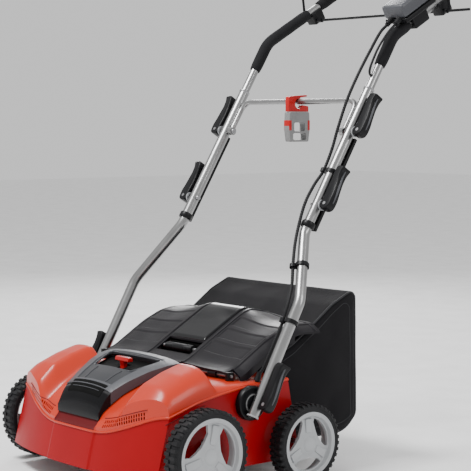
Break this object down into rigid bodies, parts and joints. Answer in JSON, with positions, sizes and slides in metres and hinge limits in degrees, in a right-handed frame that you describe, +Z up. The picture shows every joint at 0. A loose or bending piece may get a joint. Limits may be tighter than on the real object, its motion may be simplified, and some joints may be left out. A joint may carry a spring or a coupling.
{
  "type": "electric lawn dethatcher",
  "caption": "Walk-behind electric lawn dethatcher with bladed rotor under a red deck, rear catch bag, folding telescopic handle, start bail and cam clamps.",
  "frame": {"origin": "on the ground, under the middle of the machine's outline", "axes": "+Z up, -Y towards the machine's front, +X towards the machine's left side, where the switch box is"},
  "size_m": [0.6234, 0.954, 1.0688],
  "materials": {
    "red_housing": "glossy injection-moulded red",
    "red_control": "semi-gloss red",
    "cover_grey": "satin dark grey",
    "flap_grey": "satin near-black",
    "black_plastic": "fine-grained black",
    "rim_grey": "satin light grey",
    "tyre_black": "matte rubber",
    "zinc_tube": "bright zinc-plated steel tube",
    "steel": "plain steel",
    "foam_black": "soft matte foam",
    "bag_fabric": "woven black fabric",
    "hook_grey": "satin grey",
    "motor_grey": "dull grey",
    "cable_black": "matte rubber sheath"
  },
  "bodies": {
    "chassis": {"lower_deck": "red_housing", "upper_housing": "red_housing", "motor_cover": "cover_grey", "cover_lip": "black_plastic", "handle_well": "black_plastic", "electric_motor": "motor_grey", "drive_belt": "cable_black", "rear_axle": "steel", "flap_pin": "steel", "pivot_knuckle_left": "black_plastic", "pivot_knuckle_right": "black_plastic"},
    "rotor": {"blade_rotor": "steel"},
    "motor_shaft": {"motor_pulley": "steel"},
    "crank_axle": {"front_axle": "steel"},
    "wheel_front_left": {"rim_front_left": "rim_grey", "tyre_front_left": "tyre_black"},
    "wheel_front_right": {"rim_front_right": "rim_grey", "tyre_front_right": "tyre_black"},
    "wheel_rear_left": {"rim_rear_left": "rim_grey", "tyre_rear_left": "tyre_black"},
    "wheel_rear_right": {"rim_rear_right": "rim_grey", "tyre_rear_right": "tyre_black"},
    "depth_lever": {"depth_lever": "red_control"},
    "flap": {"rear_flap": "flap_grey", "flap_recess_tray": "black_plastic", "flap_grip": "black_plastic"},
    "bag": {"catch_bag": "bag_fabric"},
    "lower_handle": {"lower_tube_left": "zinc_tube", "lower_tube_right": "zinc_tube", "cable_clip_middle": "black_plastic", "cable_clip_bottom": "black_plastic"},
    "mid_handle": {"mid_tube_left": "zinc_tube", "mid_tube_right": "zinc_tube", "guide_rail_left": "black_plastic", "guide_rail_right": "black_plastic", "crossbar": "zinc_tube", "lower_clamp_bolt_left": "steel", "lower_clamp_bolt_right": "steel", "upper_clamp_bolt_left": "steel", "upper_clamp_bolt_right": "steel", "cable_clip_top": "black_plastic", "power_cable": "cable_black"},
    "upper_handle": {"upper_handle_tube": "zinc_tube", "foam_sleeve_left": "foam_black", "foam_sleeve_right": "foam_black", "foam_grip": "foam_black", "switch_box": "cover_grey", "bail_block_left": "black_plastic", "bail_block_right": "black_plastic", "switch_lead": "cable_black"},
    "cable_hook": {"cable_hook": "hook_grey", "hook_claw": "red_control"},
    "start_bail": {"start_bail": "steel"},
    "lock_button": {"lock_button": "red_control"},
    "foot_lever_left": {"foot_lever_left": "black_plastic"},
    "foot_lever_right": {"foot_lever_right": "black_plastic"},
    "lower_lever_left": {"lower_lever_left": "black_plastic"},
    "lower_lever_right": {"lower_lever_right": "black_plastic"},
    "upper_lever_left": {"upper_lever_left": "black_plastic"},
    "upper_lever_right": {"upper_lever_right": "black_plastic"}
  },
  "joints": [
    {"name": "rotor_spin", "type": "hinge", "parent": "chassis", "child": "rotor", "pos_m": [0, -0.228, 0.078], "axis": [1, 0, 0], "continuous": true},
    {"name": "motor_spin", "type": "hinge", "parent": "chassis", "child": "motor_shaft", "pos_m": [0, -0.338, 0.157], "axis": [1, 0, 0], "continuous": true},
    {"name": "depth_set", "type": "hinge", "parent": "chassis", "child": "depth_lever", "pos_m": [0, -0.338, 0.2075], "axis": [1, 0, 0], "range_deg": [-15, 15]},
    {"name": "axle_crank", "type": "hinge", "parent": "chassis", "child": "crank_axle", "pos_m": [0, -0.33, 0.106], "axis": [1, 0, 0], "range_deg": [-12, 12]},
    {"name": "wheel_front_left_roll", "type": "hinge", "parent": "crank_axle", "child": "wheel_front_left", "pos_m": [0.281, -0.352, 0.089], "axis": [1, 0, 0], "continuous": true},
    {"name": "wheel_front_right_roll", "type": "hinge", "parent": "crank_axle", "child": "wheel_front_right", "pos_m": [-0.281, -0.352, 0.089], "axis": [1, 0, 0], "continuous": true},
    {"name": "wheel_rear_left_roll", "type": "hinge", "parent": "chassis", "child": "wheel_rear_left", "pos_m": [0.281, -0.103, 0.08], "axis": [1, 0, 0], "continuous": true},
    {"name": "wheel_rear_right_roll", "type": "hinge", "parent": "chassis", "child": "wheel_rear_right", "pos_m": [-0.281, -0.103, 0.08], "axis": [1, 0, 0], "continuous": true},
    {"name": "flap_lift", "type": "hinge", "parent": "chassis", "child": "flap", "pos_m": [0, -0.236, 0.218], "axis": [1, 0, 0], "range_deg": [0, 75], "stiffness_Nm_per_rad": 0.3, "springref_deg": -5.73},
    {"name": "bag_unhook", "type": "slide", "parent": "chassis", "child": "bag", "axis": [0, 1, 0], "range_m": [0, 0.3]},
    {"name": "handle_fold", "type": "hinge", "parent": "chassis", "child": "lower_handle", "pos_m": [0, -0.218, 0.169], "axis": [1, 0, 0], "range_deg": [-15, 85], "deforming": ["power_cable"]},
    {"name": "mid_telescope", "type": "slide", "parent": "lower_handle", "child": "mid_handle", "axis": [0, 0.527, 0.8499], "range_m": [0, 0.05]},
    {"name": "upper_telescope", "type": "slide", "parent": "mid_handle", "child": "upper_handle", "axis": [0, 0.527, 0.8499], "range_m": [0, 0.06]},
    {"name": "hook_slide", "type": "slide", "parent": "mid_handle", "child": "cable_hook", "axis": [1, 0, 0], "range_m": [-0.11, 0.12]},
    {"name": "bail_pull", "type": "hinge", "parent": "upper_handle", "child": "start_bail", "pos_m": [0, 0.364, 0.95], "axis": [1, 0, 0], "range_deg": [-47, 0], "stiffness_Nm_per_rad": 0.5, "springref_deg": 5.73},
    {"name": "lock_press", "type": "slide", "parent": "upper_handle", "child": "lock_button", "axis": [0, 0.4966, -0.868], "range_m": [0, 0.004], "stiffness_N_per_m": 250, "springref_m": -0.002},
    {"name": "foot_lever_left_open", "type": "hinge", "parent": "lower_handle", "child": "foot_lever_left", "pos_m": [0.2982, -0.218, 0.169], "axis": [0, 0.8685, -0.4956], "range_deg": [0, 100]},
    {"name": "lower_lever_left_open", "type": "hinge", "parent": "mid_handle", "child": "lower_lever_left", "pos_m": [0.2301, 0.00378, 0.54309], "axis": [0, 0.8499, -0.527], "range_deg": [0, 100]},
    {"name": "upper_lever_left_open", "type": "hinge", "parent": "mid_handle", "child": "upper_lever_left", "pos_m": [0.2301, 0.09548, 0.69097], "axis": [0, 0.8499, -0.527], "range_deg": [0, 100]},
    {"name": "foot_lever_right_open", "type": "hinge", "parent": "lower_handle", "child": "foot_lever_right", "pos_m": [-0.2982, -0.218, 0.169], "axis": [0, -0.8685, 0.4956], "range_deg": [0, 100]},
    {"name": "lower_lever_right_open", "type": "hinge", "parent": "mid_handle", "child": "lower_lever_right", "pos_m": [-0.2301, 0.00378, 0.54309], "axis": [0, -0.8499, 0.527], "range_deg": [0, 100]},
    {"name": "upper_lever_right_open", "type": "hinge", "parent": "mid_handle", "child": "upper_lever_right", "pos_m": [-0.2301, 0.09548, 0.69097], "axis": [0, -0.8499, 0.527], "range_deg": [0, 100]}
  ],
  "couplings": [
    {"joint": "axle_crank", "follows": "depth_set", "ratio": 0.8},
    {"joint": "motor_spin", "follows": "rotor_spin", "ratio": 2.1905}
  ]
}
